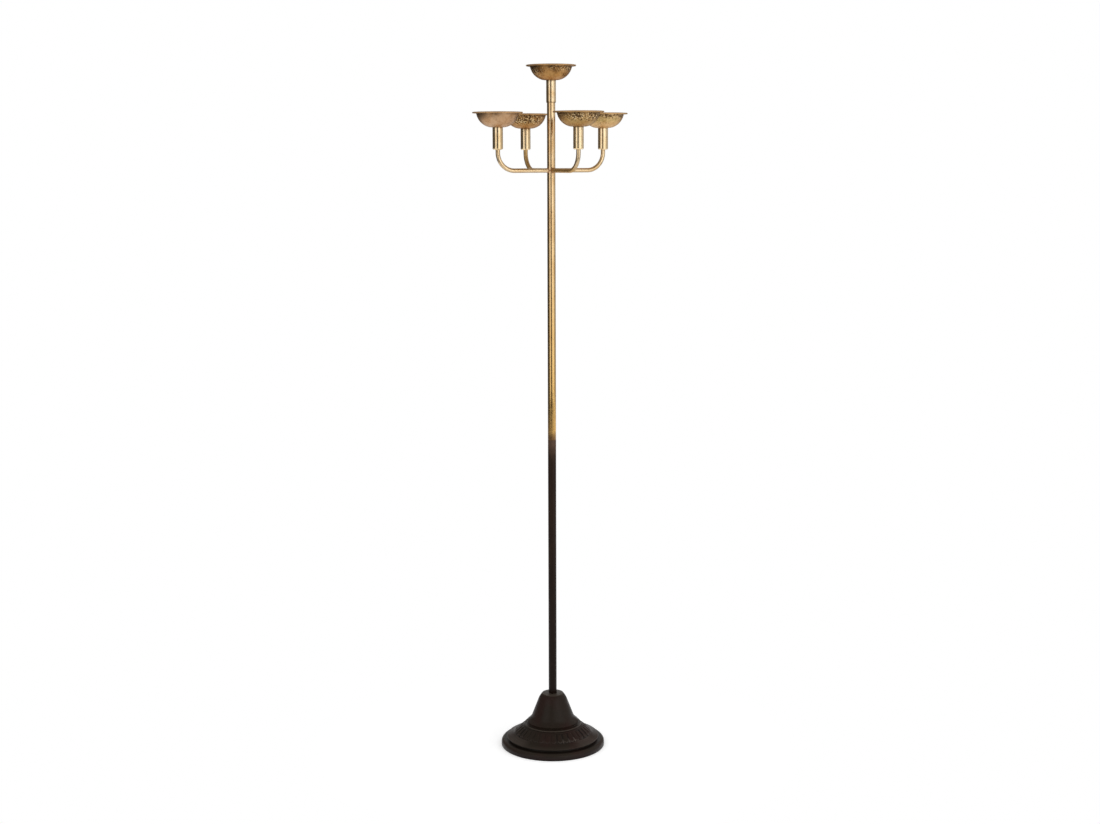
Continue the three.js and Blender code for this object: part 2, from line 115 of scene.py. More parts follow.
def add_mark(piece, name, values):
    """Stores one number for each corner of a piece, which its material reads by name."""
    mark = piece.data.attributes.new(name, "FLOAT", "POINT")
    mark.data.foreach_set("value", values)


def add_tone(piece, tone):
    """Stores one colour for the whole of a piece, which its material reads."""
    mark = piece.data.attributes.new("tone", "FLOAT_COLOR", "POINT")
    mark.data.foreach_set("color", (*tone, 1.0) * len(piece.data.vertices))


def revolve(name, outline, segments, material, centre=(0.0, 0.0), displace=None):
    """Revolves a closed, counter-clockwise outline of (r, z, wear) about an upright axis through centre."""
    vertices, faces, wear_and_highlight, rings = [], [], [], []
    for row, (r, z, worn) in enumerate(outline):
        first = len(vertices)
        if r == 0:
            rings.append([first] * segments)
            vertices.append((centre[0], centre[1], z))
            wear_and_highlight.append(worn)
            continue
        rings.append(list(range(first, first + segments)))
        for k in range(segments):
            turn = 2 * math.pi * k / segments
            place_r, place_z = displace(row, turn) if displace else (r, z)
            x = centre[0] + place_r * math.cos(turn)
            y = centre[1] + place_r * math.sin(turn)
            vertices.append((x, y, place_z))
            wear_and_highlight.append(worn)
    for row, ring in enumerate(rings):
        above = rings[(row + 1) % len(rings)]
        if ring[0] == ring[-1] and above[0] == above[-1]:
            continue
        for k in range(segments):
            n = (k + 1) % segments
            corners = [ring[k], ring[n], above[n], above[k]]
            faces.append(tuple(dict.fromkeys(corners)))
    piece = shaded(name, vertices, faces, material)
    add_mark(piece, "wear_and_highlight", wear_and_highlight)
    return piece


def arc(centre_r, centre_z, radius, start, end, steps):
    """Points of an arc from one angle to another, in degrees."""
    points = []
    for i in range(steps + 1):
        angle = math.radians(start + (end - start) * i / steps)
        points.append((centre_r + radius * math.cos(angle), centre_z + radius * math.sin(angle)))
    return points


def bezier(p0, p1, p2, p3, steps):
    """Points of a cubic curve, without its first point."""
    a, b, c, d = (Vector(p) for p in (p0, p1, p2, p3))
    points = []
    for i in range(1, steps + 1):
        t = i / steps
        point = (1 - t) ** 3 * a + 3 * t * (1 - t) ** 2 * b + 3 * t * t * (1 - t) * c + t**3 * d
        points.append((point.x, point.y))
    return points


def finish_piece(piece, body, slot, *nodes):
    """Sets what a piece rides on and hides the nodes that it stands for. The slot argument is not used."""
    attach(piece, body)
    if nodes:
        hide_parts(*nodes)
    return piece


class Shader:
    """Short ways to build one material. Coordinates are the row frame's, in metres."""

    def __init__(self, name, metallic, roughness):
        self.material = bpy.data.materials.new(name)
        self.material.use_nodes = True
        self.tree = self.material.node_tree
        self.surface = self.tree.nodes["Principled BSDF"]
        self.surface.inputs["Metallic"].default_value = metallic
        self.surface.inputs["Roughness"].default_value = roughness
        self.coords = self.tree.nodes.new("ShaderNodeTexCoord").outputs["Object"]

    def node(self, kind, **settings):
        made = self.tree.nodes.new(kind)
        for key, value in settings.items():
            setattr(made, key, value)
        return made

    def feed(self, socket, value):
        if isinstance(value, bpy.types.NodeSocket):
            self.tree.links.new(value, socket)
        else:
            socket.default_value = value

    def stretched(self, scale):
        """The coordinates, scaled by a different factor along each axis."""
        made = self.node("ShaderNodeMapping")
        self.feed(made.inputs["Vector"], self.coords)
        made.inputs["Scale"].default_value = scale
        return made.outputs["Vector"]

    def noise(self, scale, detail=5.0, roughness=0.55, distortion=0.0, vector=None):
        made = self.node("ShaderNodeTexNoise")
        self.feed(made.inputs["Vector"], vector or self.coords)
        for key, value in (("Scale", scale), ("Detail", detail), ("Roughness", roughness), ("Distortion", distortion)):
            made.inputs[key].default_value = value
        return made.outputs["Fac"]

    def grade(self, value, low, high, to_low=0.0, to_high=1.0):
        """Maps a range of a value to another, smoothly, and holds it at the ends."""
        made = self.node("ShaderNodeMapRange", interpolation_type="SMOOTHSTEP")
        self.feed(made.inputs["Value"], value)
        for key, number in (("From Min", low), ("From Max", high), ("To Min", to_low), ("To Max", to_high)):
            made.inputs[key].default_value = number
        return made.outputs["Result"]

    def height(self, low, high, to_low=0.0, to_high=1.0):
        made = self.node("ShaderNodeSeparateXYZ")
        self.feed(made.inputs["Vector"], self.coords)
        return self.grade(made.outputs["Z"], low, high, to_low, to_high)

    def math(self, operation, a, b=0.0):
        made = self.node("ShaderNodeMath", operation=operation, use_clamp=True)
        self.feed(made.inputs[0], a)
        self.feed(made.inputs[1], b)
        return made.outputs[0]

    def mix(self, factor, a, b, blend="MIX"):
        made = self.node("ShaderNodeMix", data_type="RGBA", blend_type=blend)
        self.feed(made.inputs[0], factor)
        for socket, value in ((made.inputs[6], a), (made.inputs[7], b)):
            self.feed(socket, value if isinstance(value, bpy.types.NodeSocket) else (*value, 1.0))
        return made.outputs[2]

    def attribute(self, name, output="Fac"):
        return self.node("ShaderNodeAttribute", attribute_name=name).outputs[output]

    def bump(self, height, strength, distance, normal=None):
        made = self.node("ShaderNodeBump")
        self.feed(made.inputs["Height"], height)
        made.inputs["Strength"].default_value = strength
        made.inputs["Distance"].default_value = distance
        if normal:
            self.feed(made.inputs["Normal"], normal)
        return made.outputs["Normal"]

    def done(self, colour=None, roughness=None, normal=None, metallic=None):
        for key, value in (("Base Color", colour), ("Roughness", roughness), ("Normal", normal),
                           ("Metallic", metallic)):
            if value is not None:
                self.feed(self.surface.inputs[key], value)
        return self.material


def lacquer(s):
    """A clear coat, whose pale reflection shows on top of the metal's own."""
    s.surface.inputs["Coat Weight"].default_value = 0.22
    s.surface.inputs["Coat IOR"].default_value = 1.5
    s.surface.inputs["Coat Roughness"].default_value = 0.12


def aged_brass(name):
    """Old gold toned brass: warm bright metal, tarnished brown in patches, small dark pits. The dull mark says where
    the metal has gone olive brown; a second mark paints shade under the arms and below the bowls, and a dark band at
    the sleeve's foot."""
    s = Shader(name, 1.0, 0.25)
    broad = s.noise(26, 4, 0.6, 0.6)
    fine = s.noise(300, 5, 0.6)
    pits = s.noise(420, 3, 0.6)
    colour = s.mix(s.grade(broad, 0.42, 0.7), (0.87, 0.67, 0.42), (0.73, 0.50, 0.26))
    colour = s.mix(s.grade(fine, 0.56, 0.74, 0.0, 0.55), colour, (0.36, 0.20, 0.07))
    colour = s.mix(s.grade(pits, 0.60, 0.67, 0.0, 0.9), colour, (0.10, 0.055, 0.02))
    colour = s.mix(s.math("MULTIPLY", s.attribute("wear_and_highlight"), 0.4), colour, (0.95, 0.76, 0.44))
    colour = s.mix(s.attribute("dull"), colour, (0.56, 0.34, 0.11))
    # Painted shade under the arms and on the cups just below their bowls, and a dark band at the sleeve's foot
    colour = s.mix(s.attribute("shade_and_dark_band"), colour, (0.17, 0.105, 0.05))
    rough = s.math("ADD", s.grade(fine, 0.35, 0.75, 0.09, 0.22), s.math("MULTIPLY", s.attribute("dull"), 0.4))
    lacquer(s)
    return s.done(colour, rough, s.bump(s.noise(260, 3, 0.5), 0.12, 0.0006))


def post_brass(name):
    """The upper tube: aged brass whose gold gives way to brown, red-brown and near black at the joint."""
    s = Shader(name, 1.0, 0.25)
    broad = s.noise(22, 5, 0.6, 0.5, s.stretched((1, 1, 0.5)))
    fine = s.noise(300, 5, 0.6)
    pits = s.noise(420, 3, 0.6)
    gold = s.mix(s.height(JOINT_Z, POST_TOP), (0.70, 0.44, 0.145), (0.83, 0.61, 0.36))
    colour = s.mix(s.grade(broad, 0.42, 0.7), gold, (0.80, 0.70, 0.56), "MULTIPLY")
    colour = s.mix(s.grade(fine, 0.56, 0.74, 0.0, 0.55), colour, (0.34, 0.19, 0.07))
    colour = s.mix(s.grade(pits, 0.60, 0.67, 0.0, 0.9), colour, (0.10, 0.055, 0.02))
    fade = s.height(JOINT_Z, JOINT_Z + 29 * MM, 0.55, 0.0)
    edge = s.grade(s.math("ADD", fade, s.math("MULTIPLY", s.noise(120, 5, 0.7, 0.4), 0.62)), 0.3, 0.95)
    colour = s.mix(edge, colour, (0.145, 0.072, 0.030))
    rough = s.grade(fine, 0.35, 0.75, 0.09, 0.23)
    lacquer(s)
    return s.done(colour, rough, s.bump(s.noise(260, 3, 0.5), 0.12, 0.0006))


def dark_tube(name):
    """The lower tube: brown-black finish, with a little of the gold left near the joint."""
    s = Shader(name, 0.0, 0.35)
    s.surface.inputs["Specular IOR Level"].default_value = 0.1
    fine = s.noise(300, 6, 0.6)
    broad = s.noise(30, 4, 0.6, 0.4, s.stretched((1, 1, 0.3)))
    colour = s.mix(s.grade(broad, 0.4, 0.7), (0.026, 0.0135, 0.0075), (0.016, 0.008, 0.005))
    colour = s.mix(s.height(POST_FOOT, JOINT_Z), (0.009, 0.0045, 0.0028), colour)
    near = s.height(JOINT_Z - 60 * MM, JOINT_Z, 0.0, 0.5)
    left = s.grade(s.math("ADD", near, s.math("MULTIPLY", s.noise(80, 5, 0.65), 0.6)), 0.3, 1.1)
    colour = s.mix(left, colour, (0.12, 0.07, 0.045))
    rough = s.grade(fine, 0.3, 0.75, 0.28, 0.45)
    return s.done(colour, rough, s.bump(fine, 0.1, 0.0004))


def bowl_brass(name):
    """Spun bowls: dull tan brass, each of its own tone. The stain mark says where dark and light flecks crowd, the
    green mark where the metal has gone greenish, another mark where a shadow is painted under the flange, and another
    where the rolled edge gets a painted highlight and the collar's corners are worn lighter."""
    s = Shader(name, 1.0, 0.42)
    broad = s.noise(34, 4, 0.6, 0.7)
    fine = s.noise(180, 5, 0.65, 0.3)
    flecks = s.noise(262, 2, 0.6, 0.2)
    sparks = s.noise(300, 2, 0.6, 0.2, s.stretched((1.3, 1.3, 1)))
    colour = s.attribute("tone", "Color")
    green = s.math("MULTIPLY", s.attribute("green"), s.grade(fine, 0.3, 0.6))
    colour = s.mix(green, colour, (0.43, 0.35, 0.13))
    colour = s.mix(s.grade(broad, 0.4, 0.7), colour, (0.84, 0.74, 0.62), "MULTIPLY")
    colour = s.mix(s.grade(fine, 0.5, 0.72, 0.0, 0.45), colour, (0.56, 0.46, 0.34), "MULTIPLY")
    stain = s.math("MULTIPLY", s.attribute("stain"), s.grade(s.noise(75, 4, 0.6, 0.4), 0.3, 0.55, 0.45, 1.0))
    colour = s.mix(s.math("MULTIPLY", stain, 0.42), colour, (0.22, 0.11, 0.045))
    light = s.grade(s.math("ADD", sparks, s.math("MULTIPLY", stain, 0.1)), 0.59, 0.63)
    colour = s.mix(s.math("MULTIPLY", light, stain), colour, (0.95, 0.72, 0.40))
    dark = s.grade(s.math("ADD", flecks, s.math("MULTIPLY", stain, 0.2)), 0.655, 0.69)
    colour = s.mix(s.math("MULTIPLY", dark, 0.9), colour, (0.066, 0.027, 0.008))
    # Painted shadow on the bowl's body just under its flange
    colour = s.mix(s.attribute("line"), colour, (0.085, 0.040, 0.016))
    # Painted highlight on the rolled edge; worn lighter on the collar's corners
    colour = s.mix(s.attribute("wear_and_highlight"), colour, (0.68, 0.42, 0.19))
    rough = s.grade(fine, 0.3, 0.7, 0.34, 0.52)
    return s.done(colour, rough, s.bump(s.noise(150, 4, 0.5), 0.2, 0.0005))


def dark_iron(name):
    """Cast base: brown-black paint over iron, greenish or reddish in broad patches, lighter on what stands out, partly
    worn and partly a painted highlight, and black in the hollows with painted shade and some grime."""
    s = Shader(name, 0.0, 0.45)
    s.surface.inputs["Specular IOR Level"].default_value = 0.11
    broad = s.noise(16, 3, 0.5, 0.3)
    fine = s.noise(320, 6, 0.62)
    colour = s.mix(s.grade(broad, 0.4, 0.62), (0.0150, 0.0102, 0.0068), (0.0185, 0.0088, 0.0066))
    colour = s.mix(s.height(4 * MM, 15 * MM, 0.75, 0.0), colour, (0.0095, 0.0045, 0.0048))
    colour = s.mix(s.grade(fine, 0.54, 0.72, 0.0, 0.5), colour, (0.034, 0.022, 0.016))
    # Lighter on the plateau, the bead and the lip's top: a painted highlight, partly worn as well
    colour = s.mix(s.math("MULTIPLY", s.attribute("wear_and_highlight"), 0.7), colour, (0.055, 0.044, 0.034))
    # Lighter on the relief's raised points and the strips at its sides: painted highlights, partly worn
    colour = s.mix(s.attribute("rubbed_and_highlight"), colour, (0.085, 0.066, 0.055))
    # Painted shade, with some grime, in the recess under the lip, the quirk, beside the bead and in the relief's slots
    colour = s.mix(s.attribute("dirt_and_shade"), colour, (0.003, 0.002, 0.0016))
    rough = s.grade(fine, 0.3, 0.75, 0.3, 0.5)
    return s.done(colour, rough, s.bump(fine, 0.2, 0.0005))


def steel(name):
    """Plain steel of the small hardware, with a brushed grain."""
    s = Shader(name, 1.0, 0.35)
    grain = s.noise(500, 4, 0.6, 0.0, s.stretched((1, 1, 6)))
    colour = s.mix(s.grade(grain, 0.4, 0.7), (0.42, 0.40, 0.37), (0.28, 0.25, 0.22))
    return s.done(colour, s.grade(grain, 0.3, 0.7, 0.28, 0.5), s.bump(grain, 0.1, 0.0002))


def braze(name):
    """Reddish filler metal in the fillets where the arms enter the post."""
    s = Shader(name, 0.9, 0.45)
    fine = s.noise(500, 5, 0.6)
    colour = s.mix(s.grade(fine, 0.4, 0.66), (0.66, 0.38, 0.20), (0.26, 0.11, 0.05))
    return s.done(colour, s.grade(fine, 0.3, 0.7, 0.4, 0.65), s.bump(fine, 0.4, 0.0005))


BRASS = aged_brass("aged_brass")
POST_BRASS = post_brass("post_brass")
DARK_TUBE = dark_tube("dark_tube")
BOWL_BRASS = bowl_brass("bowl_brass")
DARK_IRON = dark_iron("dark_iron")
STEEL = steel("steel")
BRAZE = braze("braze")


# Base: outline from the top down, with the band's rows evenly spaced so that the relief can lift them
PLATEAU_R, PLATEAU_CHAMFER = 24.6 * MM, 1 * MM
SHOULDER_WIDTH, SHOULDER_DROP, SHOULDER_EASE = 9.6 * MM, 14.6 * MM, 7 * MM
SEAT_R = POST_R + 0.3 * MM
CONE_FOOT = (49.4 * MM, 72.6 * MM)
COVE_FOOT = (61.2 * MM, 58.6 * MM)
QUIRK_DEPTH, QUIRK_UNDERCUT = 5 * MM, 1.5 * MM
BEAD_R = 2 * MM
BAND_TOP = (67.2 * MM, 49.8 * MM)
BAND_FOOT = (96 * MM, 26.1 * MM)
LIP_R, LIP_Z, LIP_ROUND = 109.5 * MM, 21.2 * MM, 2.4 * MM
LIP_TURN_UNDER = 8
RECESS_DEPTH = 5 * MM
FLANGE_HEIGHT, FLANGE_ROUND, FLANGE_FOOT_ROUND = 15.8 * MM, 8.5 * MM, 0.8 * MM
RIM_WIDTH = 10 * MM
BASE_WALL = 5 * MM
SOCKET_DEPTH, WEB_THICKNESS = 12.6 * MM, 16 * MM
STUD_HOLE_R = 5.3 * MM
TONGUE_COUNT = 36
TONGUE_HEAD, TONGUE_TAIL = 9.6 * MM, 12 * MM
TONGUE_LENGTH, TONGUE_RELIEF, TONGUE_CHAMFER = 24 * MM, 1.2 * MM, 1.6 * MM
RELIEF_FOOT_MARGIN = 7.5 * MM
DART_WIDTH, DART_LENGTH, DART_RELIEF = 4.4 * MM, 12 * MM, 1.1 * MM
FACETS_PER_TONGUE = 20
BAND_ROWS = 44
# How much lighter the strips beside the relief are painted at the sides, as a highlight
STRIP_HIGHLIGHT = 0.22


def unit(a, b):
    return Vector((b[0] - a[0], b[1] - a[1])).normalized()


BAND_FALL = unit(BAND_TOP, BAND_FOOT)
BAND_OUT = Vector((-BAND_FALL.y, BAND_FALL.x))
BAND_LENGTH = math.dist(BAND_TOP, BAND_FOOT)


def relief_shade_highlight_and_wear(turn):
    """How dark the slots of the relief are painted at an angle about the post, how bright its raised points, and how
    much lighter the strip outside the tongues is. Seen from the camera, the slots get painted shade at the sides and
    front right, the raised points a painted highlight at the front right and the strips a painted highlight at the
    sides, over a little grime and worn patches that differ from tongue to tongue."""
    aside = (math.degrees(turn - CAMERA_AZIMUTH) + 90 + 180) % 360 - 180
    tongue = round(turn / (2 * math.pi) * TONGUE_COUNT)
    chance = (0.7, 0.35, 0.9, 0.25, 0.6, 0.45, 0.8)[tongue % 7]
    dark = max(bump_between(aside, -78, -52, 6), bump_between(aside, 46, 74, 6), 0.55 * bump_between(aside, 2, 36, 5),
               0.25 * chance)
    bright = max(bump_between(aside, 9, 45, 5), 0.15 * chance)
    strip = STRIP_HIGHLIGHT * max(bump_between(aside, -80, -34, 12), bump_between(aside, 30, 76, 12))
    return dark, bright, strip


def relief(along, turn):
    """Height of the relief over the band, how dark its hollow is painted there as shade, and how much a painted
    highlight, partly worn, lightens it, from the distance down the band and the angle about the post."""
    pitch = 2 * math.pi / TONGUE_COUNT
    r = BAND_TOP[0] + along * BAND_FALL.x
    across = ((turn / pitch) % 1 - 0.5) * pitch * r
    start = BAND_LENGTH - RELIEF_FOOT_MARGIN - TONGUE_LENGTH
    place = along - start
    round_at = TONGUE_LENGTH - TONGUE_TAIL / 2
    share = min(max(place / round_at, 0), 1)
    half = (TONGUE_HEAD + (TONGUE_TAIL - TONGUE_HEAD) * share) / 2
    if place > round_at:
        inside = TONGUE_TAIL / 2 - math.hypot(place - round_at, across)
    else:
        inside = min(half - abs(across), place)
    slope = min(max(inside / TONGUE_CHAMFER, 0), 1)
    lift = TONGUE_RELIEF * math.sin(slope * math.pi / 2)
    off_dart = abs(((turn / pitch + 0.5) % 1 - 0.5) * pitch * r)
    dart_place = place - (TONGUE_LENGTH - DART_LENGTH)
    if 0 < dart_place < DART_LENGTH:
        dart_half = DART_WIDTH / 2 * dart_place / DART_LENGTH
        if off_dart < dart_half:
            lift = max(lift, DART_RELIEF * (1 - off_dart / dart_half) * dart_place / DART_LENGTH)
    dark, bright, strip = relief_shade_highlight_and_wear(turn)
    hollow = rubbed_and_highlight = 0.0
    # Painted shade in the slots and round the tongues' ends
    if -1.5 * MM < place < TONGUE_LENGTH + 1 * MM:
        hollow = dark * (1 - min(lift / TONGUE_RELIEF, 1))
    # Painted highlight on the strip below the tongues, stronger next to them
    elif place > TONGUE_LENGTH + 1 * MM:
        rubbed_and_highlight = strip * (1.7 if place < TONGUE_LENGTH + 2.4 * MM else 1)
    # Painted highlight on a rim round each tongue's rounded end
    if place > round_at and 0 < inside < 1.6 * MM:
        rubbed_and_highlight = 0.8 * max(0.6 * bright, dark)
    # Painted highlight along the ridge of each dart, partly worn
    if 0 < dart_place < DART_LENGTH and off_dart < 1.3 * MM:
        rubbed_and_highlight = bright * min(dart_place / (0.2 * DART_LENGTH), 1)
    return lift, hollow, rubbed_and_highlight


def base_outline():
    """The base's outline, counter-clockwise, from the floor ring up the outside to the post's seat, then down
    the hollow. The band's rows are marked by their distance from its top."""
    cone_top = Vector((PLATEAU_R + SHOULDER_WIDTH, BASE_HEIGHT - SHOULDER_DROP))
    cone_fall = unit(cone_top, CONE_FOOT)
    cone_out = Vector((-cone_fall.y, cone_fall.x))
    band_out_degrees = math.degrees(math.atan2(BAND_OUT.y, BAND_OUT.x))
    reach = CONE_FOOT[1] - COVE_FOOT[1]
    cove = bezier(
        CONE_FOOT,
        Vector(CONE_FOOT) + cone_fall * reach / 2,
        Vector(COVE_FOOT) - BAND_FALL * reach / 3,
        COVE_FOOT,
        12,
    )
    bead_tilt = math.degrees(math.atan2(BAND_FALL.y, BAND_FALL.x))
    bead_centre = Vector(BAND_TOP) - BAND_FALL * BEAD_R
    web_under = BASE_HEIGHT - SOCKET_DEPTH - WEB_THICKNESS
    hollow_cone = Vector(CONE_FOOT) - cone_out * BASE_WALL
    hollow_top_r = hollow_cone.x + (web_under - hollow_cone.y) * cone_fall.x / cone_fall.y
    lip = arc(LIP_R - LIP_ROUND, LIP_Z, LIP_ROUND, band_out_degrees, -LIP_TURN_UNDER, 12)
    recess_r = LIP_R - RECESS_DEPTH

    # The third number of each row lightens it where positive, on the plateau, the bead and the lip's top, as a painted
    # highlight, partly worn as well; where negative it darkens it with painted shade and some grime, at the cove's
    # foot, the quirk, beside the bead, under the lip, in the recess and on the flange's inner top.
    down = [(SEAT_R, BASE_HEIGHT - SOCKET_DEPTH, 0, None), (SEAT_R, BASE_HEIGHT, 1, None)]
    edge = arc(PLATEAU_R, BASE_HEIGHT - PLATEAU_CHAMFER, PLATEAU_CHAMFER, 90, 40, 4)
    down += [(r, z, 1, None) for r, z in edge]
    bend = cone_top - cone_fall * SHOULDER_EASE
    start = Vector(edge[-1])
    shoulder = bezier(start, start.lerp(bend, 2 / 3), cone_top.lerp(bend, 2 / 3), cone_top, 10)
    down += [(r, z, 0, None) for r, z in shoulder]
    down += [(CONE_FOOT[0] + (cone_top[0] - CONE_FOOT[0]) * (1 - k / 8),
              CONE_FOOT[1] + (cone_top[1] - CONE_FOOT[1]) * (1 - k / 8), 0, None) for k in range(2, 9)]
    down += [(r, z, -0.15 * (k > 10), None) for k, (r, z) in enumerate(cove)]
    quirk = Vector((COVE_FOOT[0] - QUIRK_UNDERCUT, COVE_FOOT[1] - QUIRK_DEPTH))
    down.append((quirk.x, quirk.y + 1 * MM, -0.2, None))
    down.append((quirk.x + 1 * MM, quirk.y, -0.2, None))
    bead = arc(bead_centre.x, bead_centre.y, BEAD_R, bead_tilt + 160, bead_tilt + 8, 12)
    down += [(r, z, (-0.2, 0)[k] if k < 2 else 0.8 * (k < 9), None) for k, (r, z) in enumerate(bead)]
    for k in range(BAND_ROWS + 1):
        along = BAND_LENGTH * k / BAND_ROWS
        down.append((BAND_TOP[0] + along * BAND_FALL.x, BAND_TOP[1] + along * BAND_FALL.y, 0, along))
    down += [(r, z, (0.25, 0.25, 0, -0.5)[(k > 3) + (k > 7) + (k > 10)], None) for k, (r, z) in enumerate(lip)]
    down.append((lip[-1][0] - 0.8 * MM, lip[-1][1], -0.6, None))
    down.append((recess_r + 1 * MM, lip[-1][1], -0.6, None))
    down.append((recess_r, lip[-1][1] - 1 * MM, -0.6, None))
    down.append((recess_r, FLANGE_HEIGHT + 1 * MM, -0.6, None))
    down.append((recess_r + 1 * MM, FLANGE_HEIGHT, -0.6, None))
    flange = arc(FLANGE_R - FLANGE_ROUND, FLANGE_HEIGHT - FLANGE_ROUND, FLANGE_ROUND, 90, 0, 12)
    down += [(r, z, (-0.6, -0.5, -0.2, 0.1)[min(k, 3)], None) for k, (r, z) in enumerate(flange)]
    down.append((FLANGE_R, FLANGE_FOOT_ROUND, 0, None))
    down.append((FLANGE_R - FLANGE_FOOT_ROUND, 0.0, 0, None))
    down.append((FLANGE_R - RIM_WIDTH, 0.0, 0, None))
    for corner in (Vector(BAND_FOOT) - BAND_OUT * BASE_WALL, Vector(BAND_TOP) - BAND_OUT * BASE_WALL, hollow_cone):
        down.append((corner.x, corner.y, 0, None))
    down.append((hollow_top_r, web_under, 0, None))
    down.append((STUD_HOLE_R, web_under, 0, None))
    down.append((STUD_HOLE_R, BASE_HEIGHT - SOCKET_DEPTH, 0, None))
    return down[::-1]


def make_base():
    rows = base_outline()
    dirt_and_shade, rubbed_and_highlight = [], []

    def displace(row, turn):
        r, z, mark, along = rows[row]
        if along is None:
            # Negative marks become painted shade with some grime; the lip's top takes the painted highlight of the
            # band's sides
            dirt_and_shade.append(max(-mark, 0))
            on_lip = mark > 0 and r > BAND_FOOT[0] and z > FLANGE_HEIGHT
            rubbed_and_highlight.append(relief_shade_highlight_and_wear(turn)[2] if on_lip else 0.0)
            return r, z
        lift, hollow, bright = relief(along, turn)
        # Painted shade in the relief's slots, and a dark band painted just under the bead
        dirt_and_shade.append(hollow if along > 1.3 * MM else 0.6)
        rubbed_and_highlight.append(bright)
        return r + lift * BAND_OUT.x, z + lift * BAND_OUT.y

    outline = [(r, z, max(mark, 0)) for r, z, mark, along in rows]
    base = revolve("base", outline, TONGUE_COUNT * FACETS_PER_TONGUE, DARK_IRON, displace=displace)
    add_mark(base, "dirt_and_shade", dirt_and_shade)
    add_mark(base, "rubbed_and_highlight", rubbed_and_highlight)
    finish_piece(base, "root", "dark_iron", "base_casting")


def tube(outer, inner, foot, top):
    return soften([(inner, foot), (outer, foot), (outer, top), (inner, top)], 0.25 * MM)


def make_post():
    bore = POST_R - POST_WALL
    lower = revolve("lower_tube", tube(POST_R, bore, POST_FOOT, JOINT_Z), 72, DARK_TUBE)
    finish_piece(lower, "root", "dark_tube", "lower_post")
    upper = revolve("upper_tube", tube(POST_R, bore, JOINT_Z, POST_TOP), 72, POST_BRASS)
    finish_piece(upper, "root", "aged_brass", "upper_post")


def rod_rings():
    """Centre and direction of each ring along an arm that lies along +X."""
    bend_start = ARM_REACH - ARM_BEND_R
    rings = [(Vector((ARM_INNER + (bend_start - ARM_INNER) * k / 12, 0, ARM_Z)), 0.0) for k in range(12)]
    for k in range(25):
        turned = math.pi / 2 * k / 24
        x = bend_start + ARM_BEND_R * math.sin(turned)
        rings.append((Vector((x, 0, ARM_Z + ARM_BEND_R * (1 - math.cos(turned)))), turned))
    rings.append((Vector((ARM_REACH, 0, ROD_TOP)), math.pi / 2))
    return rings


# Stretch of an arm whose metal has gone dull, as shares of its length, and how dull it is
DULL_STRETCH = {"front": (-1, 0.62, 0.9), "back": (0.4, 2, 0.75)}
DULL_EVERYWHERE = 0.15
# Painted shade under each arm and a painted dark stripe along its top, both fading up the bend
UNDERSIDE_SHADE, TOP_SHADE = 0.75, 0.35


def make_rod(name, side, turn):
    segments = 36
    spin = Matrix.Rotation(turn, 3, "Z")
    vertices, faces = [], []
    rings = rod_rings()
    for centre, turned in rings:
        up = Vector((-math.sin(turned), 0, math.cos(turned)))
        for k in range(segments):
            angle = 2 * math.pi * k / segments
            offset = Vector((0, 1, 0)) * math.cos(angle) + up * math.sin(angle)
            vertices.append(spin @ (centre + offset * ROD_R))
    for row in range(len(rings) - 1):
        a, b = row * segments, (row + 1) * segments
        for k in range(segments):
            n = (k + 1) % segments
            faces.append((a + k, a + n, b + n, b + k))
    faces.append(tuple(range(segments - 1, -1, -1)))
    faces.append(tuple(range(len(vertices) - segments, len(vertices))))
    rod = shaded(name, vertices, faces, BRASS)
    start, end, strength = DULL_STRETCH.get(side, (0, 0, 0))
    marks = [strength * bump_between(row / (len(rings) - 1), start, end, 0.08) for row in range(len(rings))]
    marks = [max(mark, DULL_EVERYWHERE) for mark in marks]
    add_mark(rod, "dull", [mark for mark in marks for _ in range(segments)])
    # Painted shade round the arm: dark underneath and in a stripe along the top, less up the bend and where the metal
    # is dull
    around = []
    for k in range(segments):
        upward = math.sin(2 * math.pi * k / segments)
        over = TOP_SHADE * min(max((upward - 0.8) / 0.15, 0), 1)
        around.append(max(over, UNDERSIDE_SHADE * min(max((-upward - 0.35) / 0.5, 0), 1)))
    kept = [1 - 0.8 * turned / (math.pi / 2) for _, turned in rings]
    add_mark(rod, "shade_and_dark_band", [mark * share * (1 - dull) for dull, share in zip(marks, kept) for mark in around])
    return rod


def make_fillet(name, turn):
    """Braze fillet round an arm where it enters the post: a saddle shaped ring."""
    segments = 36
    spin = Matrix.Rotation(turn, 3, "Z")
    steps = ((1.7, -0.3), (1.7, 0.02), (1.1, 0.12), (0.6, 0.4), (0.25, 0.8), (0.05, 1.5), (-0.4, 1.5), (-0.4, -0.3))
    vertices, faces = [], []
    for out, spread in steps:
        for k in range(segments):
            angle = 2 * math.pi * k / segments
            lump = 1 + 0.12 * math.sin(3 * angle + turn) + 0.06 * math.sin(5 * angle + 2 * turn)
            r = ROD_R + spread * lump * MM
            y, z = r * math.cos(angle), r * math.sin(angle)
            x = math.sqrt(max(POST_R**2 - y**2, 0)) + out * (lump if out > 0 else 1) * MM
            vertices.append(spin @ Vector((x, y, ARM_Z + z)))
    for row in range(len(steps)):
        a, b = row * segments, ((row + 1) % len(steps)) * segments
        for k in range(segments):
            n = (k + 1) % segments
            faces.append((a + k, b + k, b + n, a + n))
    return shaded(name, vertices, faces, BRAZE)


# Painted shade on each cup just below its bowl: how dark, and how far down it reaches; and how dark a band is painted
# at the foot of the top cup's sleeve, and how high it reaches
CUP_SHADE_UNDER_BOWL = {"right": 0.35, "back": 0.8, "left": 0.3, "front": 0.7, "top": 0.6}
CUP_SHADE_DEPTH = 4 * MM
SLEEVE_FOOT_DARK, SLEEVE_FOOT_DARK_HEIGHT = 0.8, 2.5 * MM


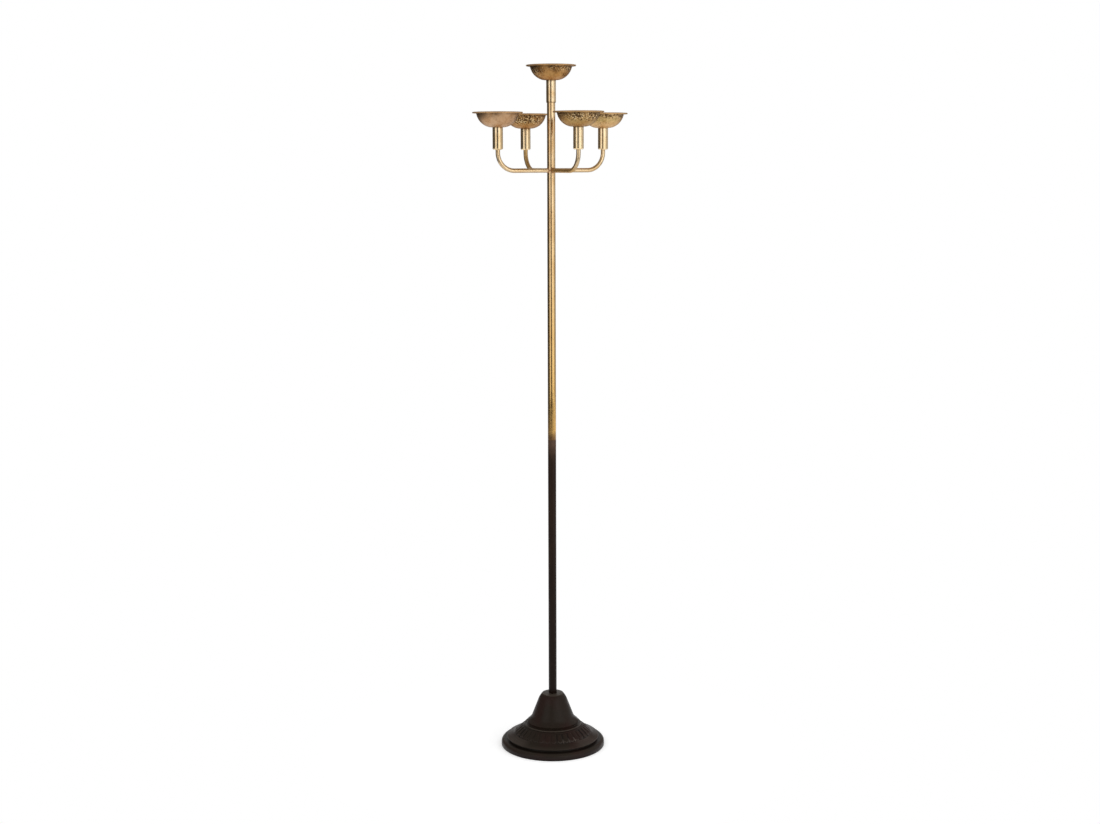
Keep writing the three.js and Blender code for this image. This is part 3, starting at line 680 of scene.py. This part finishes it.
def cup_outline():
    chamfer, seat, floor = 2.4 * MM, 5 * MM, 4 * MM
    floor_top = CUP_FOOT + seat + floor
    return soften([
        (ROD_R + 0.15 * MM, CUP_FOOT),
        (CUP_R - chamfer, CUP_FOOT),
        (CUP_R, CUP_FOOT + chamfer),
        (CUP_R, CUP_TOP - CUP_SHADE_DEPTH),
        (CUP_R, CUP_TOP),
        (CANDLE_BORE_R, CUP_TOP),
        (CANDLE_BORE_R, floor_top),
        (2.8 * MM, floor_top),
        (2.8 * MM, CUP_FOOT + seat),
        (ROD_R + 0.15 * MM, CUP_FOOT + seat),
    ])


def bowl_outline(seat):
    """Spun bowl: outer profile up to the flange, its rolled edge, and the inner profile back to the floor."""
    flange, mouth, pad, wall = 3 * MM, 48 * MM, 14 * MM, 1.4 * MM
    belly, shoulder_r, shoulder_z = 23 * MM, 43 * MM, 7.2 * MM
    hole = 9.75 * MM
    under = BOWL_DEPTH - flange
    outer = [(pad, 0.0)] + bezier((pad, 0), (belly, 0), (shoulder_r, shoulder_z), (mouth, under), 24)
    inner = [(pad, wall)] + bezier(
        (pad, wall),
        (belly - wall / 2, wall),
        (shoulder_r - wall, shoulder_z + wall / 2),
        (mouth - wall, BOWL_DEPTH - 0.6 * MM),
        24,
    )
    edge = arc(BOWL_R - flange / 2, BOWL_DEPTH - flange / 2, flange / 2, -90, 90, 12)
    lip = [(mouth - wall + 0.9 * MM, BOWL_DEPTH)]
    points = [(hole, 0.0)] + outer + edge + lip + inner[::-1] + [(hole, wall)]
    worn = len(outer) + len(edge)
    # The rolled edge is marked for a painted highlight
    marks = [0.75 if len(outer) + 2 < k <= worn else 0.0 for k in range(len(points))]
    return [(r, z + seat, mark) for (r, z), mark in zip(points, marks)]


def collar_outline(seat):
    outer, wall, flange_r = 9.6 * MM, 0.7 * MM, 13 * MM
    foot, flange_foot = seat - 16 * MM, seat + 1.4 * MM
    flange_top = flange_foot + 1 * MM
    return soften([
        (outer - wall, foot),
        (outer, foot),
        (outer, flange_foot),
        (flange_r, flange_foot),
        (flange_r, flange_top),
        (outer - wall, flange_top),
    ], 0.3 * MM)


def bump_between(value, low, high, soft):
    """One inside a range and zero outside it, with soft ends."""
    rise = min(max((value - low) / soft, 0), 1)
    fall = min(max((high - value) / soft, 0), 1)
    return min(rise, fall)


class BowlMarks:
    """How one bowl looks: its tone, its dark stains, its green patch, and how dark a shadow is painted under its
    flange.
    A stain or patch is the middle of it in degrees to the right of the camera's direction, half its width in
    degrees, its lowest and its highest place as shares of the bowl's depth, and its strength. The flange keeps a
    share of the stains above it."""

    def __init__(self, tone, stains, green, line, flange):
        self.tone, self.stains, self.green, self.line, self.flange = tone, stains, green, line, flange


FLANGE_SHARE = 0.09
# Each bowl: tone, stains, green patch, how dark a shadow is painted under its flange, and the flange's share of the
# stains
BOWL_MARKS = {
    "top": BowlMarks((0.53, 0.287, 0.100), [(-55, 32, 0.15, 1.5, 0.8), (38, 45, 0.4, 1.5, 0.85)],
                     (0, 60, 0.1, 0.6, 0.2), 0.6, 0.6),
    "left": BowlMarks((0.57, 0.365, 0.210), [(-95, 35, 0.4, 1.5, 0.35)], (0, 0, 0, 0, 0), 0.35, 0.0),
    "back": BowlMarks((0.445, 0.232, 0.074), [(4, 62, 0.15, 1.5, 0.9)], (10, 32, 0.2, 0.8, 0.45), 0.5, 0.6),
    "front": BowlMarks((0.44, 0.262, 0.096), [(22, 55, 0.25, 1.5, 1.0), (-48, 34, 0.5, 1.5, 0.85)], (-8, 38, 0.15, 0.7, 0.5), 0.55, 0.1),
    "right": BowlMarks((0.68, 0.445, 0.208), [(15, 70, 0.5, 1.5, 1.0)], (4, 45, 0.25, 0.85, 0.9), 0.4, 0.3),
}


def mark_bowl(bowl, side, centre, seat):
    marks = BOWL_MARKS[side]

    def strength_at(patch, turn, share):
        middle, half, low, high, strength = patch
        off = abs((turn - middle + 180) % 360 - 180)
        return strength * min(max((half + 20 - off) / 40, 0), 1) * bump_between(share, low, high, 0.3)

    stain, green, line = [], [], []
    for vertex in bowl.data.vertices:
        x, y, share = vertex.co.x - centre[0], vertex.co.y - centre[1], (vertex.co.z - seat) / BOWL_DEPTH
        turn = math.degrees(math.atan2(x, -y) - CAMERA_AZIMUTH)
        kept = marks.flange if share > 1 - FLANGE_SHARE else 1.0
        stain.append(kept * max(strength_at(patch, turn, share) for patch in marks.stains))
        green.append(strength_at(marks.green, turn, share))
        # A shadow painted on the body just under the flange
        line.append(marks.line * bump_between(share, 0.76, 1.05 - FLANGE_SHARE, 0.08))
    add_mark(bowl, "stain", stain)
    add_mark(bowl, "green", green)
    add_mark(bowl, "line", line)
    add_tone(bowl, marks.tone)


def darken_at_heights(piece, *ends):
    """Darkens a piece at each given height, by the strength that follows it: painted shade just below a bowl, and a
    dark band at the sleeve's foot.
    """
    marks = []
    for vertex in piece.data.vertices:
        near = [s for z, s in zip(ends[::2], ends[1::2]) if abs(vertex.co.z - z) < 0.6 * MM]
        marks.append(max(near, default=0.0))
    add_mark(piece, "shade_and_dark_band", marks)


def make_bowl(side, centre, seat):
    body = "bowl_" + side
    bowl = revolve("drip_bowl_" + side, bowl_outline(seat), 128, BOWL_BRASS, centre)
    mark_bowl(bowl, side, centre, seat)
    finish_piece(bowl, body, "bowl_brass", body)
    collar = revolve("bowl_collar_" + side, collar_outline(seat), 64, BOWL_BRASS, centre)
    add_tone(collar, BOWL_MARKS[side].tone)
    finish_piece(collar, body, "bowl_brass", "collar_" + side)


def make_arms():
    for quarter, side in enumerate(SIDES):
        turn = quarter * math.pi / 2
        centre = (ARM_REACH * math.cos(turn), ARM_REACH * math.sin(turn))
        finish_piece(make_rod("rod_" + side, side, turn), "root", "aged_brass", "arm_" + side)
        finish_piece(make_fillet("braze_" + side, turn), "root", "aged_brass")
        cup = revolve("candle_cup_" + side, cup_outline(), 72, BRASS, centre)
        darken_at_heights(cup, CUP_TOP, CUP_SHADE_UNDER_BOWL[side])
        finish_piece(cup, "root", "aged_brass", "cup_" + side)
        make_bowl(side, centre, CUP_TOP)


def make_top_cup():
    web_foot, web = POST_TOP, 3 * MM
    outline = soften([
        (0, web_foot + web),
        (0, web_foot),
        (SLEEVE_BORE_R, web_foot),
        (SLEEVE_BORE_R, TOP_CUP_FOOT),
        (TOP_CUP_R, TOP_CUP_FOOT),
        (TOP_CUP_R, TOP_CUP_FOOT + SLEEVE_FOOT_DARK_HEIGHT),
        (TOP_CUP_R, TOP_CUP_TOP - CUP_SHADE_DEPTH),
        (TOP_CUP_R, TOP_CUP_TOP),
        (CANDLE_BORE_R, TOP_CUP_TOP),
        (CANDLE_BORE_R, web_foot + web),
    ], 0.25 * MM)
    cup = revolve("top_sleeve", outline, 72, BRASS)
    darken_at_heights(cup, TOP_CUP_TOP, CUP_SHADE_UNDER_BOWL["top"], TOP_CUP_FOOT, SLEEVE_FOOT_DARK)
    finish_piece(cup, "top_cup", "aged_brass", "top_cup")
    make_bowl("top", (0.0, 0.0), TOP_CUP_TOP)


def dress_hardware():
    for name in ("base_washer", "base_lock_washer", "base_nut", "foot_stud", "foot_bush", "joint_bush",
                 "joint_spigot", "screw_right", "screw_back", "screw_left", "screw_front"):
        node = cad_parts[name]
        node.data.materials.clear()
        node.data.materials.append(STEEL)


# Camera and light
IMAGE_WIDTH = 1100
FOCAL_PIXELS = 1650
SENSOR_MM = 36
CAMERA_AZIMUTH = math.radians(-26.6)
CAMERA_DISTANCE = 3.806
CAMERA_HEIGHT = 1.396
CAMERA_PITCH = math.radians(8.8)
CAMERA_ROLL = math.radians(-0.17)
CAMERA_ASIDE = -0.0045
SOFTBOX_DISTANCE, SOFTBOX_HEIGHT, SOFTBOX_TALL = 2.8, 1.3, 2.6
ROOM_LIGHT = 0.72
ROOM_SEEN_IN_METAL = (0.1, 0.4)
ROOM_TONE = (1.0, 0.95, 0.86)
CEILING_ANGLES = (6, 26)
ROLL_HALF_ANGLES = (24, 14)
PAPER_COLOUR, PAPER_GLOW = 0.8, 0.36
SHADOW_EDGE = (0.22, 0.6)
PAPER_EDGE = (1.9, 3.3)
PAPER_ASIDE, PAPER_BEHIND = 0.4, 0.7


def add_camera():
    data = bpy.data.cameras.new("camera")
    data.lens = FOCAL_PIXELS / IMAGE_WIDTH * SENSOR_MM
    data.sensor_width = SENSOR_MM
    camera = bpy.data.objects.new("camera", data)
    bpy.context.scene.collection.objects.link(camera)
    back = Vector((math.sin(CAMERA_AZIMUTH), -math.cos(CAMERA_AZIMUTH), 0))
    right = Vector((math.cos(CAMERA_AZIMUTH), math.sin(CAMERA_AZIMUTH), 0))
    camera.location = back * CAMERA_DISTANCE + right * CAMERA_ASIDE + Vector((0, 0, CAMERA_HEIGHT))
    turn = Matrix.Rotation(CAMERA_AZIMUTH, 3, "Z") @ Matrix.Rotation(math.pi / 2 - CAMERA_PITCH, 3, "X")
    camera.rotation_euler = (turn @ Matrix.Rotation(CAMERA_ROLL, 3, "Z")).to_euler()
    bpy.context.scene.camera = camera


def add_softbox(name, start, end, radiance):
    """A tall soft light that spans two angles to the right of the camera's direction, facing the post. A white
    thing that fills it in a mirror would show at its radiance, where 1 is white."""
    middle, half = math.radians(start + end) / 2, math.radians(end - start) / 2
    data = bpy.data.lights.new(name, "AREA")
    data.shape = "RECTANGLE"
    data.size, data.size_y = 2 * SOFTBOX_DISTANCE * math.tan(half), SOFTBOX_TALL
    data.energy = radiance * math.pi * data.size * data.size_y
    lamp = bpy.data.objects.new(name, data)
    bpy.context.scene.collection.objects.link(lamp)
    turn = CAMERA_AZIMUTH + middle
    lamp.location = (SOFTBOX_DISTANCE * math.sin(turn), -SOFTBOX_DISTANCE * math.cos(turn), SOFTBOX_HEIGHT)
    aim = Vector((0, 0, SOFTBOX_HEIGHT)) - lamp.location
    lamp.rotation_euler = aim.to_track_quat("-Z", "Y").to_euler()
    lamp.visible_camera = False
    return lamp


class Studio:
    """Short ways to build the node trees of the world and the floor."""

    def __init__(self, tree):
        self.tree = tree
        path = self.add("ShaderNodeLightPath")
        self.camera_ray = path.outputs["Is Camera Ray"]
        self.mirror_ray = self.math("MAXIMUM", path.outputs["Is Glossy Ray"], path.outputs["Is Transmission Ray"])

    def add(self, kind):
        return self.tree.nodes.new(kind)

    def feed(self, socket, value):
        if isinstance(value, bpy.types.NodeSocket):
            self.tree.links.new(value, socket)
        else:
            socket.default_value = value

    def math(self, operation, a, b):
        made = self.add("ShaderNodeMath")
        made.operation = operation
        self.feed(made.inputs[0], a)
        self.feed(made.inputs[1], b)
        return made.outputs[0]

    def vector_math(self, operation, *vectors):
        made = self.add("ShaderNodeVectorMath")
        made.operation = operation
        for socket, vector in zip(made.inputs, vectors):
            self.feed(socket, vector)
        return made.outputs["Value"]

    def grade(self, value, low, high, to_low=0.0, to_high=1.0):
        made = self.add("ShaderNodeMapRange")
        made.interpolation_type = "SMOOTHSTEP"
        self.feed(made.inputs["Value"], value)
        for key, number in (("From Min", low), ("From Max", high), ("To Min", to_low), ("To Max", to_high)):
            made.inputs[key].default_value = number
        return made.outputs["Result"]

    def blend(self, factor, a, b):
        made = self.add("ShaderNodeMix")
        made.data_type = "FLOAT"
        self.feed(made.inputs[0], factor)
        self.feed(made.inputs[2], a)
        self.feed(made.inputs[3], b)
        return made.outputs[0]

    def blend_colours(self, factor, a, b):
        made = self.add("ShaderNodeMix")
        made.data_type = "RGBA"
        self.feed(made.inputs[0], factor)
        made.inputs[6].default_value = (*a, 1.0)
        made.inputs[7].default_value = (*b, 1.0)
        return made.outputs[2]

    def mix_shaders(self, factor, a, b):
        made = self.add("ShaderNodeMixShader")
        self.feed(made.inputs[0], factor)
        self.feed(made.inputs[1], a)
        self.feed(made.inputs[2], b)
        return made.outputs[0]

    def emission(self, strength):
        made = self.add("ShaderNodeEmission")
        made.inputs["Strength"].default_value = strength
        return made.outputs[0]


def add_world():
    """White to the camera. What metal reflects is a white roll behind the object and a dim room elsewhere, whose
    ceiling is a little lighter."""
    world = bpy.data.worlds.new("studio")
    bpy.context.scene.world = world
    world.use_nodes = True
    background = world.node_tree.nodes["Background"]
    s = Studio(world.node_tree)
    direction = s.add("ShaderNodeTexCoord").outputs["Generated"]
    behind = s.vector_math("DOT_PRODUCT", direction, (-math.sin(CAMERA_AZIMUTH), math.cos(CAMERA_AZIMUTH), 0))
    roll = s.grade(behind, *(math.cos(math.radians(angle)) for angle in ROLL_HALF_ANGLES))
    upward = s.vector_math("DOT_PRODUCT", direction, (0, 0, 1))
    ceiling = s.grade(upward, *(math.sin(math.radians(angle)) for angle in CEILING_ANGLES))
    room = s.blend(ceiling, *ROOM_SEEN_IN_METAL)
    white = s.math("MAXIMUM", s.camera_ray, s.math("MULTIPLY", s.mirror_ray, roll))
    strength = s.blend(white, s.blend(s.mirror_ray, ROOM_LIGHT, room), 1.0)
    in_mirror = s.math("SUBTRACT", s.mirror_ray, white)
    s.feed(background.inputs["Color"], s.blend_colours(in_mirror, (1.0, 1.0, 1.0), ROOM_TONE))
    s.feed(background.inputs["Strength"], strength)


def add_floor():
    """White paper that keeps the shadow near the object and reads as white further out. In what metal reflects it
    is just as white, and it ends some way off, where the dim room begins."""
    size = 30.0
    mesh = bpy.data.meshes.new("floor")
    corners = [(-size, -size, 0), (size, -size, 0), (size, size, 0), (-size, size, 0)]
    mesh.from_pydata(corners, [], [(0, 1, 2, 3)])
    floor = bpy.data.objects.new("floor", mesh)
    bpy.context.scene.collection.objects.link(floor)
    material = bpy.data.materials.new("pale_floor")
    material.use_nodes = True
    s = Studio(material.node_tree)
    surface = material.node_tree.nodes["Principled BSDF"]
    place = s.add("ShaderNodeTexCoord").outputs["Object"]
    distance = s.vector_math("LENGTH", place)
    paper_middle = Matrix.Rotation(CAMERA_AZIMUTH, 3, "Z") @ Vector((PAPER_ASIDE, PAPER_BEHIND, 0))
    paper = s.grade(s.vector_math("DISTANCE", place, paper_middle), *PAPER_EDGE, 1.0, 0.0)
    s.feed(surface.inputs["Base Color"], s.blend(paper, ROOM_SEEN_IN_METAL[0], PAPER_COLOUR))
    surface.inputs["Roughness"].default_value = 0.9
    surface.inputs["Specular IOR Level"].default_value = 0.1
    lit = s.add("ShaderNodeAddShader")
    s.feed(lit.inputs[0], surface.outputs[0])
    s.feed(lit.inputs[1], s.emission(PAPER_GLOW))
    white = s.mix_shaders(s.grade(distance, *SHADOW_EDGE), lit.outputs[0], s.emission(1.0))
    seen_white = s.math("MAXIMUM", s.camera_ray, s.math("MULTIPLY", s.mirror_ray, paper))
    s.feed(material.node_tree.nodes["Material Output"].inputs["Surface"],
           s.mix_shaders(seen_white, surface.outputs[0], white))
    mesh.materials.append(material)


add_camera()
add_softbox("softbox_left", -58, -22, 1.05)
add_softbox("softbox_front", 6, 24, 0.9)
add_softbox("softbox_right", 24, 60, 1.3)
add_softbox("fill_right", 60, 84, 0.65)
add_softbox("fill_far_right", 84, 140, 0.45)
add_world()
add_floor()
bpy.context.scene.view_settings.view_transform = "Standard"

make_base()
make_post()
make_arms()
make_top_cup()
dress_hardware()
